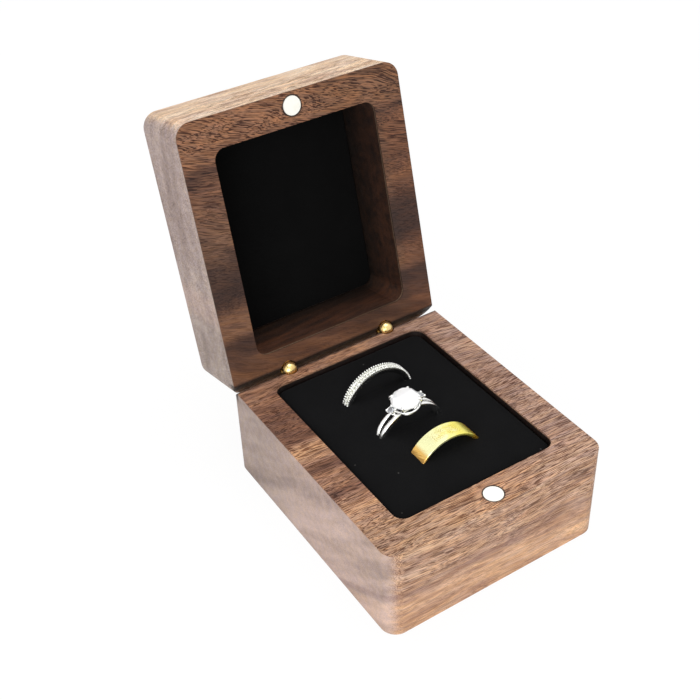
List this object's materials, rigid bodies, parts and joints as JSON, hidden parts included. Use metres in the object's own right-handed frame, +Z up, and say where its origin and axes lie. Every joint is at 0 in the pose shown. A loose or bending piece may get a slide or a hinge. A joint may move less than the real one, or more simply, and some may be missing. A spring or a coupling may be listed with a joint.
{
  "type": "ring display box",
  "caption": "Hinged walnut ring box, open, with a velvet pad holding a stone-set band, a solitaire and a plain gold ring, and magnets that keep the lid shut.",
  "frame": {"origin": "middle of the base's underside", "axes": "+X along the hinge towards the right hand hinge seen from the front, -Y towards the opening front, +Z up"},
  "size_m": [0.062, 0.1059, 0.0938],
  "materials": {
    "walnut": "oiled satin, grain along the hinge",
    "walnut_lid": "oiled satin, grain along the hinge",
    "card": "plain grey board",
    "foam": "dark flexible foam",
    "pad_velvet": "short black velvet pile",
    "lining_velvet": "short black velvet pile",
    "magnet_nickel": "bright nickel plate",
    "hinge_brass": "polished brass",
    "pin_brass": "turned brass",
    "silver": "polished silver",
    "small_stone": "cut and polished",
    "clear_stone": "brilliant cut",
    "gold": "satin yellow gold with faint engraving"
  },
  "bodies": {
    "base": {"base_body": "walnut", "pad_card": "card", "pad_foam": "foam", "pad_velvet": "pad_velvet", "base_magnet": "magnet_nickel", "base_barrel_left": "hinge_brass", "base_barrel_right": "hinge_brass", "hinge_pin_left": "pin_brass", "hinge_pin_right": "pin_brass"},
    "lid": {"lid_body": "walnut_lid", "lining_card": "card", "lining_velvet": "lining_velvet", "lid_magnet": "magnet_nickel", "lid_barrel_left": "hinge_brass", "lid_barrel_right": "hinge_brass"},
    "stone_set_ring": {"pave_band": "silver", "pave_stones": "small_stone"},
    "solitaire_ring": {"solitaire_shank": "silver", "centre_stone": "clear_stone", "side_stones": "small_stone"},
    "gold_ring": {"gold_band": "gold"}
  },
  "joints": [
    {"name": "lid_hinge", "type": "hinge", "parent": "base", "child": "lid", "pos_m": [0, 0.03318, 0.0265], "axis": [1, 0, 0], "range_deg": [0, 104.1]},
    {"name": "stone_set_ring_lift", "type": "slide", "parent": "base", "child": "stone_set_ring", "axis": [0, 0, 1], "range_m": [0, 0.009]},
    {"name": "solitaire_ring_lift", "type": "slide", "parent": "base", "child": "solitaire_ring", "axis": [0, 0, 1], "range_m": [0, 0.0065]},
    {"name": "gold_ring_lift", "type": "slide", "parent": "base", "child": "gold_ring", "axis": [0, 0, 1], "range_m": [0, 0.011]}
  ]
}
